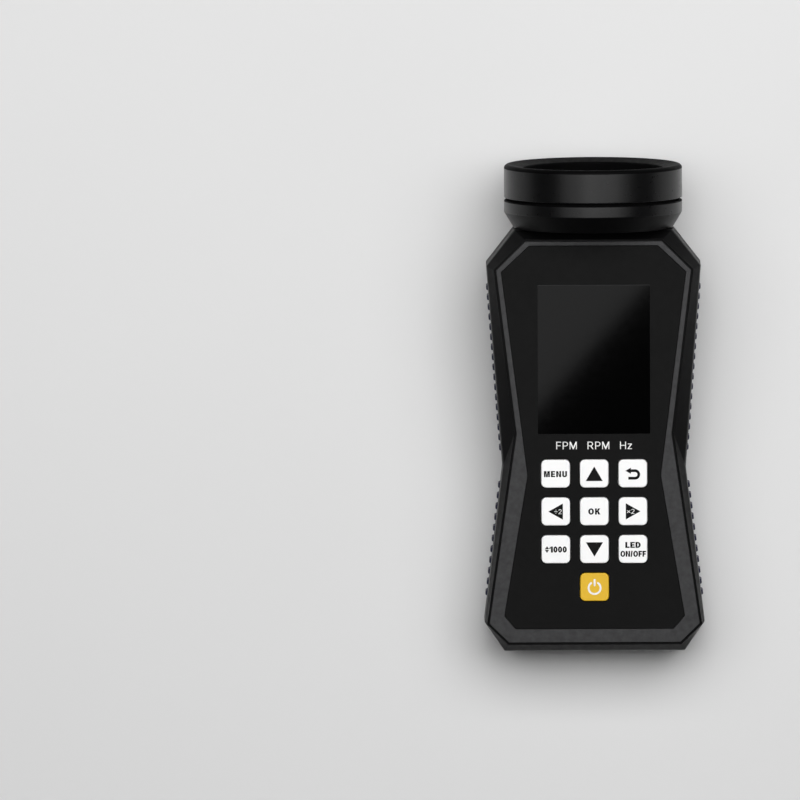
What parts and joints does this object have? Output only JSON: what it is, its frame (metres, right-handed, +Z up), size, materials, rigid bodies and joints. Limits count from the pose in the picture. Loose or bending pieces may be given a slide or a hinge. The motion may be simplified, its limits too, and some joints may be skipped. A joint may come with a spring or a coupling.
{
  "type": "handheld stroboscope",
  "caption": "Hand-held ultraviolet LED stroboscope: waisted black case with display, push keys and side grips, and a round lamp head that flashes light to freeze moving machinery.",
  "frame": {"origin": "centre of the bounding box in X and Y, on the table that the instrument lies on", "axes": "+Y along the instrument from the tail to the lamp head, +Z up from the table towards the key side; the case leans head-up by 6.36 degrees because the lamp rim is larger than the case"},
  "size_m": [0.086, 0.1934, 0.071],
  "materials": {
    "case_black": "fine-textured black plastic",
    "seal_rubber": "matt",
    "trim_frame": "satin dark grey plastic",
    "front_overlay": "matt printed film",
    "display_window": "smoked, polished",
    "lcd_module": "display glass in a metal frame",
    "foam": "foam",
    "lcd_ribbon": "film",
    "main_board": "solder mask",
    "board_parts": "moulded",
    "key_switches": "moulded",
    "key_white": "satin white silicone-coated plastic",
    "key_yellow": "satin yellow",
    "usb_socket": "nickel-plated",
    "battery": "foil pouch",
    "plug_white": "moulded",
    "lead_sheath": "insulated wire",
    "head_black": "satin black",
    "lens": "clear",
    "reflector": "metallised",
    "led_board": "white solder mask",
    "uv_leds": "emitter package",
    "heat_spreader": "milled",
    "screw_steel": "blackened",
    "tripod_insert": "machined",
    "grip_rubber": "ribbed dark blue rubber"
  },
  "bodies": {
    "housing": {"rear_shell": "case_black", "front_shell": "case_black", "case_gasket": "seal_rubber", "trim_frame": "trim_frame", "front_overlay": "front_overlay", "display_window": "display_window", "lcd_module": "lcd_module", "lcd_spacer": "foam", "lcd_ribbon": "lcd_ribbon", "main_board": "main_board", "board_parts": "board_parts", "key_switches": "key_switches", "usb_socket": "usb_socket", "battery": "battery", "battery_tape": "foam", "battery_plug": "plug_white", "battery_leads": "lead_sheath", "lamp_plug": "plug_white", "lamp_leads": "lead_sheath", "lamp_bell": "head_black", "lens_ring": "head_black", "lens": "lens", "lens_seal": "seal_rubber", "reflector": "reflector", "led_board": "led_board", "uv_leds": "uv_leds", "heat_spreader": "heat_spreader", "reflector_screws": "screw_steel", "head_screws": "screw_steel", "case_screws": "screw_steel", "board_screws": "screw_steel", "tripod_insert": "tripod_insert", "grip_upper_left": "grip_rubber", "grip_upper_right": "grip_rubber", "grip_lower_left": "grip_rubber", "grip_lower_right": "grip_rubber"},
    "key_menu_cap": {"key_menu": "key_white"},
    "key_up_cap": {"key_up": "key_white"},
    "key_back_cap": {"key_back": "key_white"},
    "key_halve_cap": {"key_halve": "key_white"},
    "key_ok_cap": {"key_ok": "key_white"},
    "key_double_cap": {"key_double": "key_white"},
    "key_step_cap": {"key_step": "key_white"},
    "key_down_cap": {"key_down": "key_white"},
    "key_lamp_cap": {"key_lamp": "key_white"},
    "key_power_cap": {"key_power": "key_yellow"}
  },
  "joints": [
    {"name": "key_menu_press", "type": "slide", "parent": "housing", "child": "key_menu_cap", "axis": [0, 0.1107, -0.9939], "range_m": [0, 0.0006], "stiffness_N_per_m": 800},
    {"name": "key_up_press", "type": "slide", "parent": "housing", "child": "key_up_cap", "axis": [0, 0.1107, -0.9939], "range_m": [0, 0.0006], "stiffness_N_per_m": 800},
    {"name": "key_back_press", "type": "slide", "parent": "housing", "child": "key_back_cap", "axis": [0, 0.1107, -0.9939], "range_m": [0, 0.0006], "stiffness_N_per_m": 800},
    {"name": "key_halve_press", "type": "slide", "parent": "housing", "child": "key_halve_cap", "axis": [0, 0.1107, -0.9939], "range_m": [0, 0.0006], "stiffness_N_per_m": 800},
    {"name": "key_ok_press", "type": "slide", "parent": "housing", "child": "key_ok_cap", "axis": [0, 0.1107, -0.9939], "range_m": [0, 0.0006], "stiffness_N_per_m": 800},
    {"name": "key_double_press", "type": "slide", "parent": "housing", "child": "key_double_cap", "axis": [0, 0.1107, -0.9939], "range_m": [0, 0.0006], "stiffness_N_per_m": 800},
    {"name": "key_step_press", "type": "slide", "parent": "housing", "child": "key_step_cap", "axis": [0, 0.1107, -0.9939], "range_m": [0, 0.0006], "stiffness_N_per_m": 800},
    {"name": "key_down_press", "type": "slide", "parent": "housing", "child": "key_down_cap", "axis": [0, 0.1107, -0.9939], "range_m": [0, 0.0006], "stiffness_N_per_m": 800},
    {"name": "key_lamp_press", "type": "slide", "parent": "housing", "child": "key_lamp_cap", "axis": [0, 0.1107, -0.9939], "range_m": [0, 0.0006], "stiffness_N_per_m": 800},
    {"name": "key_power_press", "type": "slide", "parent": "housing", "child": "key_power_cap", "axis": [0, 0.1107, -0.9939], "range_m": [0, 0.0006], "stiffness_N_per_m": 800}
  ]
}
